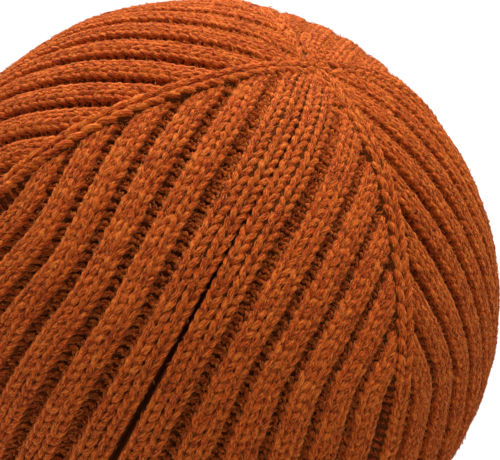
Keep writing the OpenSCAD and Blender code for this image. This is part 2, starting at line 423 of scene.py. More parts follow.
class CapForm:
    """The cap's knitted surface: where a course and a wale meet, in millimetres."""

    PAST_LINE = 1.1  # how far courses are followed beyond a line, in half gores
    ROUNDS = 9  # of Newton's method for the place of a course
    PROBE = 0.1  # its step, in millimetres
    LEAST_SLOPE = 0.15
    FIRST_GUESS, NEAREST = 0.5, 0.4  # distances from the tip that it starts and stays beyond
    SLACK = 0.7  # depth of the soft hollows of a cap that nothing fills, in millimetres

    def __init__(self, sizes: CapSizes) -> None:
        """Sets out the wale's path.

        Args:
            sizes: The cap's sizes.
        """
        self.sizes = sizes
        self.path = WalePath(sizes)

    def half_ribs(self, s: np.ndarray) -> np.ndarray:
        """Half width of a gore in ribs, at distances s from the tip."""
        z = self.sizes
        even = z.tip_half + (z.full_half - z.tip_half) * s / z.line_length
        return z.full_half - z.last_merge * np.log1p(np.exp((z.full_half - even) / z.last_merge))

    def start_of(self, half: float) -> float:
        """Distance from the tip where a gore is half ribs wide to each side."""
        z = self.sizes
        even = z.full_half - z.last_merge * math.log(
            math.exp((z.full_half - half) / z.last_merge) - 1
        )
        return z.line_length * (even - z.tip_half) / (z.full_half - z.tip_half)

    def rib_pitch(self, s: np.ndarray) -> np.ndarray:
        """Width of a rib and its groove at distances s from the tip."""
        return self.path.at(s)[0] * HALF_GORE / self.half_ribs(s)

    def course_of(self, s: np.ndarray, w: np.ndarray) -> np.ndarray:
        """Course number at distance s from the tip, w ribs across from a gore's middle.

        Courses lie square to the wales, so that they meet in a chevron at a fashioning line, and
        come level again on the way down to the headband.
        """
        z = self.sizes
        t = np.clip(np.abs(w) / self.half_ribs(s), 0, self.PAST_LINE)
        bow = (1 - np.cos(HALF_GORE * t)) / (1 - math.cos(HALF_GORE))
        run = self.path.neck_end - z.line_length
        lag = z.row_lag * np.where(
            s < z.line_length, s, z.line_length * np.clip((self.path.neck_end - s) / run, 0, 1)
        )
        return (s - lag * bow) / z.course

    def s_of(self, course: np.ndarray, w: np.ndarray) -> np.ndarray:
        """Distance from the tip of a course, w ribs across from a gore's middle."""
        course, w = np.broadcast_arrays(np.asarray(course, float), np.asarray(w, float))
        s = np.maximum(course * self.sizes.course, self.FIRST_GUESS)
        for _ in range(self.ROUNDS):
            here = self.course_of(s, w)
            slope = (self.course_of(s + self.PROBE, w) - here) / self.PROBE
            s = s - (here - course) / np.maximum(slope, self.LEAST_SLOPE)
            s = np.clip(s, self.NEAREST, self.path.end)
        return s

    def angle(self, s: np.ndarray, w: np.ndarray, middle: float) -> np.ndarray:
        """Angle about the axis, in radians, w ribs across from a section's middle."""
        return math.radians(middle) + HALF_GORE * w / self.half_ribs(s)

    def front(self, s: np.ndarray, w: np.ndarray, middle: float) -> np.ndarray:
        """How far round to the front, from 0 to 1, a place at s and w of a section lies."""
        return (1 + np.sin(self.angle(s, w, middle))) / 2

    def place(
        self, s: np.ndarray, w: np.ndarray, middle: float, lift: np.ndarray
    ) -> tuple[np.ndarray, np.ndarray]:
        """Points of the fabric and the outward normals there.

        Args:
            s: Distances from the tip, along the wale.
            w: Ribs across from the section's middle.
            middle: Angle of the section's middle, in degrees.
            lift: Heights out of the relief's middle.

        Returns:
            Points and unit normals, in millimetres.
        """
        z = self.sizes
        r, height, dip = self.path.at(s)
        angle = self.angle(s, w, middle)
        angle = angle + math.radians(z.wale_turn) * (1 - ease(s / z.shape_run))
        fade = 1 - ease((s - self.path.dome_end) / (self.path.neck_end - self.path.dome_end))
        slack = np.sin(5 * angle + s / 21) * np.sin(s / 26 + 1.0 + 2 * angle)
        swell = z.gore_puff / 2 * np.cos(4 * angle) + self.SLACK * slack
        puff = ease(s / z.shape_run) * fade * swell
        pinch = z.tip_dimple * np.exp(-((s / z.pinch_run) ** 2))
        shift = np.exp(-((s / z.shift_run) ** 2))
        out = r + puff + lift * np.sin(dip)
        cos, sin = np.cos(angle), np.sin(angle)
        points = np.stack(
            [out * cos + z.tip_x * shift, out * sin + z.tip_y * shift,
             height - pinch + lift * np.cos(dip)], -1
        )
        normals = np.stack([np.sin(dip) * cos, np.sin(dip) * sin, np.cos(dip)], -1)
        return points, normals


@dataclass(frozen=True)
class Relief:
    """The rib relief: how far out the middle of the yarn's thickness lies, in millimetres.

    Plain wales stand up as ribs and purl wales sink between them. The relief dies away towards
    the drawn tip, and later at the front, where the crown is stretched.
    """

    # Lifts of a rib's crest and shoulder and of a groove's floor, and where its wall stands
    crest: float = 0.55
    shoulder: float = 0.05
    floor: float = -2.5
    foot: float = 0.05
    bend: float = 0.24
    # How the ribs sink and the grooves rise where they run out at a fashioning line
    groove_end: float = 1.5
    edge_from: float = 0.05
    edge_sink: float = 0.8
    edge_sink_run: float = 0.15
    edge_rise_run: float = 0.35
    # The seam's crease is as deep as a groove is this many ribs from its middle
    seam_step: float = 0.07
    # The rib of a fashioning line
    line_crest: float = 1.05
    line_drop: float = 2.2
    line_top: float = 0.2
    line_wall: float = 0.14
    # What is left of the relief at the tip, and how it comes in
    tip_depth: float = 0.26
    front_share: float = 0.55
    tip_flat: float = 5.0
    tip_run: float = 40.0
    stretch: float = 2.4
    # Painted shade: darker tones deep in the grooves and behind other loops, where shade falls
    groove_shade: float = 0.01
    groove_from: float = 0.5
    groove_run: float = 2.8
    behind_knit: float = 0.10
    behind_purl: float = 0.34
    behind_from: float = 0.15
    behind_run: float = 0.8

    def rise(self, d: np.ndarray) -> np.ndarray:
        """Lift where the nearest groove is d ribs away."""
        wall = ease((d - self.foot) / (self.bend - self.foot))
        crown = ease((d - self.bend) / (0.5 - self.bend))
        side = self.floor + (self.shoulder - self.floor) * wall
        return side + (self.crest - self.shoulder) * crown

    def faded(self, s: np.ndarray, lift: np.ndarray, front: np.ndarray) -> np.ndarray:
        """The lift with the relief dying away towards the tip, which is s away."""
        run = self.tip_run * (1 + self.stretch * front**2)
        least = self.tip_depth * (1 - (1 - self.front_share) * front**2)
        depth = least + (1 - least) * ease((s - self.tip_flat) / run)
        return self.crest + (lift - self.crest) * depth

    def gore(
        self,
        s: np.ndarray,
        w: np.ndarray,
        to_line: np.ndarray,
        seamed: bool,
        front: np.ndarray,
        share: float = 1.0,
    ) -> np.ndarray:
        """Lift in a gore.

        Args:
            s: Distances from the tip.
            w: Ribs across from the gore's middle.
            to_line: Ribs short of the next line.
            seamed: Whether the back seam runs along the middle.
            front: How far round to the front they lie, from 0 to 1.
            share: How much of the grooves' rise to the line it takes.

        Returns:
            Lifts out of the relief's middle.
        """
        lift = self.rise(np.abs(w - np.round(w)))
        if seamed:
            crease = self.rise(np.minimum(np.abs(w) + self.seam_step, 0.5))
            lift = np.where(np.abs(w) < 0.5, np.maximum(crease, lift), lift)
        tall = ease((lift - self.floor) / (self.crest - self.floor))
        away = to_line + self.edge_from
        lift = lift - self.edge_sink * (1 - ease(away / self.edge_sink_run)) * tall
        end = share * self.groove_end
        lift = lift + end * (1 - ease(away / self.edge_rise_run)) * (1 - tall)
        return self.faded(s, lift, front)

    def line(self, s: np.ndarray, w: np.ndarray, front: np.ndarray) -> np.ndarray:
        """Lift in a fashioning line's rib, w ribs from its middle."""
        wall = ease((np.abs(w) - self.line_top) / self.line_wall)
        return self.faded(s, self.line_crest - self.line_drop * wall, front)

    def sunk(self, lift: np.ndarray) -> np.ndarray:
        """How far down the groove a lift is, from 0 on the rib to 1 on the groove's floor."""
        return np.clip((self.crest - lift) / (self.crest - self.floor), 0, 1)

    def shade(self, lift: np.ndarray, out: np.ndarray, face: np.ndarray) -> np.ndarray:
        """Painted shade: yarn coloured darker deep between the ribs and behind other loops.

        Args:
            lift: The relief's lifts.
            out: How far the yarn lies out of the fabric's middle.
            face: 1 in plain wales, -1 in purl wales.

        Returns:
            Changes of tone.
        """
        groove = ease((self.crest - lift - self.groove_from) / self.groove_run)
        behind = ease((self.behind_from - out) / self.behind_run)
        purl = (1 - face) / 2 * self.sunk(lift)
        depth = self.behind_knit + (self.behind_purl - self.behind_knit) * purl
        return -self.groove_shade * groove - depth * behind


@dataclass(frozen=True)
class Loop:
    """One knitted loop, as points across, up and out, read from the left foot to the right.

    Across is in widths of the wale, up in courses towards the tip, and out in millimetres. The
    loop rises from the back through the loop below, spreads, and closes behind the next one.
    """

    half: tuple[tuple[float, float, float], ...] = (
        (-0.50, -0.58, -0.70),
        (-0.18, -0.48, -0.35),
        (-0.15, -0.08, 0.42),
        (-0.31, 0.58, 0.46),
        (-0.33, 0.96, -0.22),
        (0.00, 1.14, -0.75),
    )

    @classmethod
    def doubled(cls) -> "Loop":
        """The wide loop of a fashioning line, where two wales are drawn into one."""
        return cls((
            (-0.50, -0.44, -1.20),
            (-0.20, -0.38, -0.60),
            (-0.17, -0.06, 0.36),
            (-0.27, 0.50, 0.46),
            (-0.31, 0.90, -0.20),
            (0.00, 1.06, -1.20),
        ))

    def sampled(self, count: int) -> np.ndarray:
        """Samples the loop on a smooth curve.

        Args:
            count: Samples from one foot to just before the next.

        Returns:
            Rows of across, up and out.
        """
        left = np.array(self.half)
        right = left[-2:0:-1] * (-1, 1, 1)
        whole = np.concatenate([left, right])
        n = len(whole)
        t = np.arange(count) * n / count
        i = np.floor(t).astype(int)
        f = (t - i)[:, None]

        def knot(j: np.ndarray) -> np.ndarray:
            """Control points of this loop or the ones beside it."""
            turn = np.floor_divide(j, n)
            return whole[j % n] + turn[:, None] * np.array([1.0, 0, 0])

        return blend([knot(i + k) for k in (-1, 0, 1, 2)], f)


@dataclass
class Strand:
    """A length of yarn: its middle, the outward directions, its tone with painted shade, and how
    thick.
    """

    points: np.ndarray
    normals: np.ndarray
    tone: np.ndarray | float = 0.0
    girth: np.ndarray | float = 1.0

    def spread(self, value: np.ndarray | float) -> np.ndarray:
        """One value for each point."""
        return np.broadcast_to(value, len(self.points))


class MeshStore:
    """Gathers tubes and sheets in millimetres and makes one Blender mesh of them."""

    TWIST = 0.4  # radians of the yarn's twist for each millimetre
    YARN_LENGTH = 900  # millimetres of yarn that the strands are cut from
    SWELLS = ((0.06, 2.3), (0.04, 0.9))  # shares of the girth, and their runs in millimetres
    FIBRE_R = 0.065  # 0.01 mm on the real yarn, too fine to show, so drawn coarser
    FIBRE_SPREAD = (0.7, 1.4)  # of that radius
    FIBRE_LENGTH = (0.9, 2.4)
    FIBRE_ARC = (0.15 * math.pi, 0.85 * math.pi)  # the part of the yarn's section they stand on
    FIBRE_ROOT = 0.88  # how far out in the yarn they are rooted
    FIBRE_STRAY = 0.28  # how far their headings stray from the yarn's
    FIBRE_BOW = (0.08, 0.02)  # how far their middles stand off, and how much more with length
    FIBRE_DIP = (-0.06, 0.07)  # how far their tips bend, for their length: mean and spread
    FIBRE_TONE = (0.05, 0.07)  # how much lighter than the yarn they are: mean and spread
    PER_TONE = 4  # yarn darkened by painted shade, deep in a groove, keeps fewer fibres

    def __init__(self) -> None:
        """Starts empty."""
        self.points: list[np.ndarray] = []
        self.yarn: list[np.ndarray] = []
        self.tone: list[np.ndarray] = []
        self.faces: dict[int, list[np.ndarray]] = {}
        self.count = 0

    def add(
        self, points: np.ndarray, yarn: np.ndarray, tone: np.ndarray, faces: list[np.ndarray]
    ) -> None:
        """Adds points and the faces between them.

        Args:
            points: Places, in millimetres.
            yarn: Along the yarn and two ways across it, in millimetres, for the fibres.
            tone: How light the yarn is coloured, about 0, painted shade included.
            faces: Arrays of faces, one for each number of corners.
        """
        for group in faces:
            self.faces.setdefault(group.shape[1], []).append(group + self.count)
        self.points.append(points)
        self.yarn.append(yarn)
        self.tone.append(tone)
        self.count += len(points)

    def tubes(
        self,
        curves: list[Strand],
        radius: float,
        sides: int,
        rng: np.random.Generator,
        halo: "MeshStore | None" = None,
        fibres: float = 0.0,
    ) -> None:
        """Sweeps a round yarn along curves, closed at both ends.

        Args:
            curves: The lengths of yarn.
            radius: The yarn's radius.
            sides: Corners of its section.
            rng: Source of the yarn's unevenness.
            halo: Store that takes the loose fibres on the yarn's outer side.
            fibres: How many of them there are for each point of the curves.
        """
        p = np.concatenate([c.points for c in curves])
        ref = np.concatenate([c.normals for c in curves])
        tone = np.concatenate([c.spread(c.tone) for c in curves])
        thick = np.concatenate([c.spread(c.girth) for c in curves])
        sizes = np.array([len(c.points) for c in curves])
        ends = np.cumsum(sizes)
        starts = ends - sizes
        nxt, prv = np.arange(len(p)) + 1, np.arange(len(p)) - 1
        nxt[ends - 1], prv[starts] = ends - 1, starts
        tangent = unit(p[nxt] - p[prv], TINY)
        side = unit(np.cross(tangent, ref), TINY)
        up = np.cross(side, tangent)
        along = np.cumsum(np.linalg.norm(p - p[prv], axis=1))
        cuts = rng.uniform(0, self.YARN_LENGTH, len(sizes))
        along = along - np.repeat(along[starts], sizes) + np.repeat(cuts, sizes)
        slow, fast = self.SWELLS
        girth = radius * thick * (
            1 + slow[0] * np.sin(along / slow[1]) + fast[0] * np.sin(along / fast[1] + 1)
        )
        theta = np.arange(sides) * 2 * math.pi / sides
        cos, sin = np.cos(theta)[None, :, None], np.sin(theta)[None, :, None]
        points = p[:, None] + girth[:, None, None] * (side[:, None] * cos + up[:, None] * sin)
        twisted = theta + self.TWIST * along[:, None]
        yarn = np.stack(
            [np.repeat(along[:, None], sides, 1),
             radius * np.cos(twisted), radius * np.sin(twisted)], -1
        )
        if halo is not None:
            halo.fibres(p, tangent, side, up, girth, tone, int(fibres * len(p)), rng)
        self.add(
            points.reshape(-1, 3), yarn.reshape(-1, 3), np.repeat(tone, sides),
            self._tube_faces(starts, ends, sides),
        )

    def _tube_faces(self, starts: np.ndarray, ends: np.ndarray, sides: int) -> list[np.ndarray]:
        """Faces of tubes on rows of points.

        Args:
            starts: The tubes' first points.
            ends: The points after their last.
            sides: Corners of their section.

        Returns:
            The side faces and the end faces.
        """
        here = np.setdiff1d(np.arange(ends[-1]), ends - 1)
        k = np.arange(sides)
        a = here[:, None] * sides + k
        b = here[:, None] * sides + (k + 1) % sides
        quads = np.stack([a, a + sides, b + sides, b], -1).reshape(-1, 4)
        caps = np.concatenate(
            [starts[:, None] * sides + k, (ends - 1)[:, None] * sides + k[::-1]]
        )
        return [quads, caps]

    def fibres(
        self,
        p: np.ndarray,
        tangent: np.ndarray,
        side: np.ndarray,
        up: np.ndarray,
        girth: np.ndarray,
        tone: np.ndarray,
        count: int,
        rng: np.random.Generator,
    ) -> None:
        """Scatters short bent fibres over the outer half of a yarn, each a closed sliver.

        Args:
            p: Points of the yarn's middle.
            tangent: Directions along it.
            side: Directions across it, along the fabric.
            up: Directions across it, out of the fabric.
            girth: Radii.
            tone: How light the yarn is coloured, painted shade included.
            count: Number of fibres.
            rng: Source of their places.
        """
        i = rng.integers(0, len(p), count)
        i = i[rng.random(count) < 1 + self.PER_TONE * tone[i]]
        count = len(i)
        theta = rng.uniform(*self.FIBRE_ARC, count)[:, None]
        out = side[i] * np.cos(theta) + up[i] * np.sin(theta)
        root = p[i] + out * girth[i, None] * self.FIBRE_ROOT
        heading = tangent[i] * rng.choice([-1.0, 1.0], count)[:, None]
        heading = heading + rng.normal(0, self.FIBRE_STRAY, (count, 3))
        heading = unit(heading - out * (heading * out).sum(1, keepdims=True))
        length = rng.uniform(*self.FIBRE_LENGTH, count)[:, None]
        bow, more = self.FIBRE_BOW
        middle = root + heading * length * 0.5 + out * (bow + more * length)
        tip = root + heading * length + out * rng.normal(*self.FIBRE_DIP, (count, 1)) * length
        across = unit(np.cross(heading, out), TINY)
        r = self.FIBRE_R * rng.uniform(*self.FIBRE_SPREAD, count)[:, None]
        points = np.stack([root, middle - r * across, middle + r * across, tip], 1)
        points = points.reshape(-1, 3)
        corners = np.array([(0, 1, 2), (3, 2, 1), (0, 3, 1), (0, 2, 3)])
        faces = ((np.arange(count) * 4)[:, None, None] + corners).reshape(-1, 3)
        # Fibres take the yarn's tone, painted shade included, a little lighter.
        shade = np.repeat(tone[i] + rng.normal(*self.FIBRE_TONE, count), 4)
        self.add(points, points, shade, [faces])

    def sheet(self, outer: np.ndarray, inner: np.ndarray, closed: bool) -> None:
        """Adds a thin closed shell between two grids of points.

        Args:
            outer: Rows by columns by three, on the outside.
            inner: The same on the inside.
            closed: Whether the last column meets the first.
        """
        rows, cols = outer.shape[:2]
        n = rows * cols
        j = np.arange(rows - 1)[:, None]
        i = np.arange(cols if closed else cols - 1)[None]
        k = (i + 1) % cols
        a, b, c, d = j * cols + i, j * cols + k, (j + 1) * cols + k, (j + 1) * cols + i
        front = np.stack([a, d, c, b], -1).reshape(-1, 4)
        back = np.stack([a, b, c, d], -1).reshape(-1, 4) + n
        i, k = i[0], k[0]
        last = (rows - 1) * cols
        rims = [
            np.stack([i, k, n + k, n + i], -1),
            np.stack([last + k, last + i, n + last + i, n + last + k], -1),
        ]
        if not closed:
            j = j[:, 0] * cols
            e = cols - 1
            rims.append(np.stack([j + cols, j, n + j, n + j + cols], -1))
            rims.append(np.stack([j + e, j + cols + e, n + j + cols + e, n + j + e], -1))
        points = np.concatenate([outer.reshape(-1, 3), inner.reshape(-1, 3)])
        self.add(points, points, np.zeros(len(points)), [np.concatenate([front, back, *rims])])

    def to_object(self, name: str, material: bpy.types.Material) -> bpy.types.Object:
        """Makes the mesh, in metres, and links it to the scene.

        Args:
            name: The piece's name.
            material: Its finish.

        Returns:
            The new object.
        """
        mesh = bpy.data.meshes.new(name)
        points = np.concatenate(self.points) * MM
        points[:, 2] = np.maximum(points[:, 2], 0.0)  # the hem is pressed flat where it stands
        groups = [(size, np.concatenate(parts)) for size, parts in sorted(self.faces.items())]
        corners = np.concatenate([faces.ravel() for _, faces in groups])
        totals = np.concatenate([np.full(len(faces), size) for size, faces in groups])
        mesh.vertices.add(len(points))
        mesh.loops.add(len(corners))
        mesh.polygons.add(len(totals))
        mesh.vertices.foreach_set("co", points.astype(np.float32).ravel())
        mesh.loops.foreach_set("vertex_index", corners.astype(np.int32))
        mesh.polygons.foreach_set(
            "loop_start", np.concatenate([[0], np.cumsum(totals)[:-1]]).astype(np.int32)
        )
        mesh.polygons.foreach_set("use_smooth", np.ones(len(totals), bool))
        mesh.update(calc_edges=True)
        yarn = mesh.attributes.new("yarn", "FLOAT_VECTOR", "POINT")
        yarn.data.foreach_set("vector", np.concatenate(self.yarn).astype(np.float32).ravel())
        tone = mesh.attributes.new("tone", "FLOAT", "POINT")
        tone.data.foreach_set("value", np.concatenate(self.tone).astype(np.float32))
        mesh.materials.append(material)
        piece = bpy.data.objects.new(name, mesh)
        bpy.context.scene.collection.objects.link(piece)
        return piece


@dataclass(frozen=True)
class WoolYarn:
    """Soft woollen-spun yarn, dyed rust, as knitted: matt, with fine fibres along the strand.

    The loose fibres at its surface catch light from the side, so it has a soft sheen and no
    clear highlight.
    """

    name: str = "rust_wool_yarn"
    # The deepest colour, reached mostly where painted shade lowers the tone.
    deep: str = "#2a0e04"
    shade: str = "#842e0c"
    body: str = "#ca4e0a"
    light: str = "#da7a2c"
    fibre_mm: float = 0.28  # 0.02 mm on the real yarn, too fine to show, so drawn coarser
    streak_mm: float = 1.7
    mottle_mm: float = 2.4
    steps: tuple[float, ...] = (0.24, 0.385, 0.47, 0.58)
    fibre_share: float = 0.85
    mottle_share: float = 0.08
    bump: tuple[float, float] = (1.0, 0.5)  # strength, and height in millimetres
    rough: float = 0.92
    gloss: float = 0.2
    sheen: float = 0.28
    sheen_rough: float = 0.3
    sheen_tint: str = "#ffbe6c"

    def material(self) -> bpy.types.Material:
        """Builds the yarn's material."""
        made, tree = new_material(self.name)
        yarn = add_node(tree, "ShaderNodeAttribute", {"attribute_name": "yarn"}).outputs["Vector"]
        tone = add_node(tree, "ShaderNodeAttribute", {"attribute_name": "tone"}).outputs["Fac"]
        stretched = add_node(
            tree, "ShaderNodeVectorMath",
            {"operation": "MULTIPLY",
             1: (1 / self.streak_mm, 1 / self.fibre_mm, 1 / self.fibre_mm)},
            {0: yarn},
        ).outputs[0]
        fibres = add_node(
            tree, "ShaderNodeTexNoise", {"Scale": 1.0, "Detail": 3.0, "Roughness": 0.6},
            {"Vector": stretched},
        ).outputs["Fac"]
        mottle = add_node(
            tree, "ShaderNodeTexNoise", {"Scale": 1 / self.mottle_mm, "Detail": 2.0},
            {"Vector": yarn},
        ).outputs["Fac"]
        # The tone attribute adds random tone and painted shade to the fibres' noise.
        mixed = multiply_add(tree, fibres, self.fibre_share, tone)
        level = multiply_add(tree, mottle, self.mottle_share, mixed)
        tones = (self.deep, self.shade, self.body, self.light)
        colour = add_ramp(tree, level, list(zip(self.steps, tones)))
        add_cloth(tree, colour, fibres, self.bump, {
            "Roughness": self.rough, "Specular IOR Level": self.gloss,
            "Sheen Weight": self.sheen, "Sheen Roughness": self.sheen_rough,
            "Sheen Tint": linear(self.sheen_tint),
        })
        return made


@dataclass(frozen=True)
class PaintedShadeBacking:
    """A dull sheet between the loops, in dark clumps: its colour is painted shade for the gaps.
    """

    name: str = "painted_shade_backing"
    dark: str = "#40200c"
    pale: str = "#6c3412"
    clump_mm: float = 0.8
    steps: tuple[float, float] = (0.35, 0.7)
    bump: tuple[float, float] = (0.8, 0.3)  # strength, and height in millimetres
    rough: float = 1.0
    gloss: float = 0.03

    def material(self) -> bpy.types.Material:
        """Builds the backing's material."""
        made, tree = new_material(self.name)
        place = add_node(tree, "ShaderNodeTexCoord").outputs["Object"]
        clumps = add_node(
            tree, "ShaderNodeTexNoise",
            {"Scale": 1 / (self.clump_mm * MM), "Detail": 4.0, "Roughness": 0.7},
            {"Vector": place},
        ).outputs["Fac"]
        colour = add_ramp(tree, clumps, list(zip(self.steps, (self.dark, self.pale))))
        add_cloth(tree, colour, clumps, self.bump, {
            "Roughness": self.rough, "Specular IOR Level": self.gloss,
        })
        return made


@dataclass(frozen=True)
class Stitching:
    """How the knit is drawn: sizes of yarn and wales, their unevenness, and what fills them.

    Radii, lifts and distances from the tip are in millimetres, and widths in ribs.
    """

    # The yarn, and the points on its section and along it
    yarn_r: float = 0.92
    gore_sides: int = 5
    line_sides: int = 7
    line_samples: int = 16
    # Purl wales, and how the yarn is drawn thin and sunk in them
    purl_w: float = 0.155
    purl_girth: float = 0.58
    purl_sink: float = 1.6
    purl_slim: float = 0.35
    slim_rate: float = 2.0
    slim_from: float = 0.2
    purl_raise: float = 0.22
    feet_below: float = -0.3
    purl_uneven: float = 3.0
    turnover: float = 8.0
    # Ends of a course, tucked in beside a fashioning line
    tuck: float = 0.16
    tuck_steps: tuple[float, float] = (1.0, 0.45)
    tuck_drops: tuple[float, float] = (1.2, 0.5)
    # How the fabric opens out below the drawn tip
    open_from: float = 2.0
    open_run: float = 60.0
    tip_thin: float = 0.04
    tip_reach: float = 14.0
    # Fashioning lines, and how far the wales beside them run in under them
    line_half: float = 0.26
    line_girth: float = 1.15
    knit_under_line: float = 0.75
    purl_under_line: float = 2.8
    end_share: float = 0.35
    # Edges of the ribs at the seam, shut near the tip and open below
    seam_gap: float = 0.06
    seam_shut: float = 0.03
    seam_open: float = 0.155
    seam_from: float = 48.0
    seam_run: float = 60.0
    seam_reach: float = 0.7
    # Loose fibres for each point of the yarn
    crown_fibres: float = 2.0
    line_fibres: float = 3.2
    side_fibres: float = 0.3
    # The backing sheet, whose dark colour is painted shade between the loops, fuller near the tip
    core_front: float = 0.05
    core_back: float = -0.45
    core_fill: float = 0.6
    fill_from: float = 20.0
    fill_run: float = 110.0
    backing_row: float = 3.0
    backing_columns: int = 8
    # Unevenness of the loops and of their tones
    wobble: float = 0.04
    wobble_across: float = 0.6
    wobble_up: float = 0.5
    wobble_out: float = 1.2
    ripple: float = 0.35
    line_wobble: float = 0.4
    tone_spread: float = 0.015
    line_tone_spread: float = 0.02


@dataclass(frozen=True)
class Wales:
    """Wales side by side: their centres and widths in ribs, and the face that each shows."""

    centre: np.ndarray
    width: np.ndarray
    face: np.ndarray

    def cut(self, keep: np.ndarray) -> "Wales":
        """The wales that keep marks."""
        return Wales(self.centre[keep], self.width[keep], self.face[keep])


def rib_wales(first: float, last: float, seams: tuple[float, ...], knit: Stitching) -> Wales:
    """Lays out the wales of the ribs between two grooves.

    Args:
        first: Groove at the left, in ribs from the section's middle.
        last: Groove at the right.
        seams: Grooves that hold a seam instead of purl wales.
        knit: Widths of the wales.

    Returns:
        The wales from left to right.
    """
    rows = []
    for k in np.arange(first, last):
        left = k + (knit.seam_gap if k in seams else knit.purl_w)
        right = k + 1 - (knit.seam_gap if k + 1 in seams else knit.purl_w)
        if k not in seams:
            rows.append((k + knit.purl_w / 2, knit.purl_w, Face.PURL.value))
        for share in (0.25, 0.75):
            centre = left + share * (right - left)
            rows.append((centre, (right - left) / 2, Face.KNIT.value))
        if k + 1 not in seams:
            rows.append((k + 1 - knit.purl_w / 2, knit.purl_w, Face.PURL.value))
    return Wales(*(np.array(column) for column in zip(*rows)))


class KnitBuilder:
    """Builds knitted sections on the cap's surface and dresses them."""

    SEED = 52
    LINE_REACH = 0.98  # the most of the gore's half width that a line takes up
    NEAREST = 0.2  # the nearest that the yarn comes to the tip, in courses

    def __init__(self, form: CapForm, knit: Stitching, relief: Relief) -> None:
        """Makes the finishes that the sections share.

        Args:
            form: The cap's surface.
            knit: Yarn and wale sizes.
            relief: Rib relief.
        """
        self.form = form
        self.knit = knit
        self.relief = relief
        self.rng = np.random.default_rng(self.SEED)
        self.wool = WoolYarn().material()
        self.linking = WoolYarn(
            name="rust_linking_yarn", shade="#6a2a0c", body="#964416", light="#bd6a31"
        ).material()
        # Loose fibres coloured lighter and more golden than the yarn: painted sheen of the light
        # that fuzz catches.
        self.fuzz = WoolYarn(
            name="rust_wool_fibres", deep="#5a1e06", shade="#96380c", body="#d05810",
            light="#ee8c38", sheen=0.2,
        ).material()
        # The backing sheet's dark colour is painted shade in the gaps between the loops.
        self.backing_shade = PaintedShadeBacking().material()
        self.loop = Loop()
        self.line_loop = Loop.doubled()
        self.pieces: list[bpy.types.Object] = []

    def line_half(self, s: np.ndarray) -> np.ndarray:
        """Half width of a line's pair of wales, in ribs: the whole gore's at the very tip."""
        half = self.form.half_ribs(s)
        spread = 0.5 - (0.5 - self.knit.line_half) * ease((half - 0.5) / 0.5)
        return np.minimum(self.LINE_REACH * half, spread)

    def _faces(self, wales: Wales, samples: int) -> np.ndarray:
        """The face that each point shows, from -1 to 1, turning over between two wales."""
        before = np.concatenate([wales.face[:1], wales.face[:-1]])
        after = np.concatenate([wales.face[1:], wales.face[-1:]])
        t = np.arange(samples) / samples
        enter = np.clip(1 - t * self.knit.turnover, 0, 1) / 2
        leave = np.clip(1 - (1 - t) * self.knit.turnover, 0, 1) / 2
        return (
            wales.face[:, None] * (1 - enter - leave)
            + before[:, None] * enter + after[:, None] * leave
        )

    def course(
        self,
        number: float,
        wales: Wales,
        middle: float,
        samples: int,
        lift_of: OnFabric,
        warp: OnFabric | None = None,
        tuck: tuple[float, float] | None = None,
    ) -> Strand | None:
        """One course of yarn across the wales.

        Args:
            number: Course number, counted from the tip.
            wales: The wales that it runs through.
            middle: Angle of the section's middle, in degrees.
            samples: Points on each loop.
            lift_of: Gives the relief for s and w.
            warp: Moves w for s, where a section narrows or closes up.
            tuck: How far the yarn runs in past the first wale and the last, in ribs.

        Returns:
            The course's yarn, or None where there are no wales.
        """
        knit, n = self.knit, len(wales.centre)
        if n == 0:
            return None
        shape = self.loop.sampled(samples)
        jitter = self.rng.normal(0, knit.wobble, (3, n, 1))
        jitter = jitter * (1 + knit.purl_uneven * (1 - wales.face[None, :, None]) / 2)
        ripple = self.rng.normal(0, knit.ripple * knit.wobble, (2, n, samples))
        across = shape[:, 0] + knit.wobble_across * jitter[0] + ripple[0]
        w = wales.centre[:, None] + wales.width[:, None] * across
        v = shape[:, 1] * (1 + knit.wobble_up * jitter[1]) + ripple[1]
        feet = shape[:, 1] < knit.feet_below
        v = v + knit.purl_raise * (1 - wales.face[:, None]) / 2 * feet
        face = self._faces(wales, samples)
        sink = knit.purl_sink * np.maximum(shape[:, 2], 0) * (1 - face) / 2
        out = shape[:, 2] * face + knit.wobble_out * jitter[2]
        w, v, out, sink, face = w.ravel(), v.ravel(), out.ravel(), sink.ravel(), face.ravel()
        tone = np.repeat(self.rng.normal(0, knit.tone_spread, n), samples)
        if tuck is not None:
            step = np.array(knit.tuck_steps)
            w = np.concatenate([w[0] - tuck[0] * step, w, w[-1] + tuck[1] * step[::-1]])
            v, out, sink, tone, face = (
                np.concatenate([x[:1], x[:1], x, x[-1:], x[-1:]])
                for x in (v, out, sink, tone, face)
            )
            for k, drop in enumerate(knit.tuck_drops):
                out[[k, -1 - k]] -= drop
        s = self.form.s_of(np.maximum(number - v, self.NEAREST), w)
        lift = lift_of(s, w)
        out = out - sink * self.relief.sunk(lift)
        if warp is not None:
            w = warp(s, w)
        points, normals = self.form.place(s, w, middle, lift + out)
        # Painted shade: darker tone deep in the grooves and behind other loops, less near the
        # drawn tip.
        tone = tone + self.relief.shade(lift, out, face) * self.opened(s)
        behind = ease(knit.slim_rate * -out - knit.slim_from)
        slim = 1 - knit.purl_slim * (1 - face) / 2 * behind
        return Strand(points, normals, tone, self.girth(s, face) * slim)

    def opened(self, s: np.ndarray) -> np.ndarray:
        """How far the fabric is opened out, from 0 at the drawn tip to 1."""
        return ease((s - self.knit.open_from) / self.knit.open_run)

    def girth(self, s: np.ndarray, face: np.ndarray) -> np.ndarray:
        """How thick the yarn looks: drawn thin in purl wales and towards the tip."""
        thin = 1 - (1 - self.knit.purl_girth) * self.opened(s)
        drawn = 1 - self.knit.tip_thin * np.exp(-((s / self.knit.tip_reach) ** 2))
        return drawn * (thin + (1 - thin) * (1 + face) / 2)

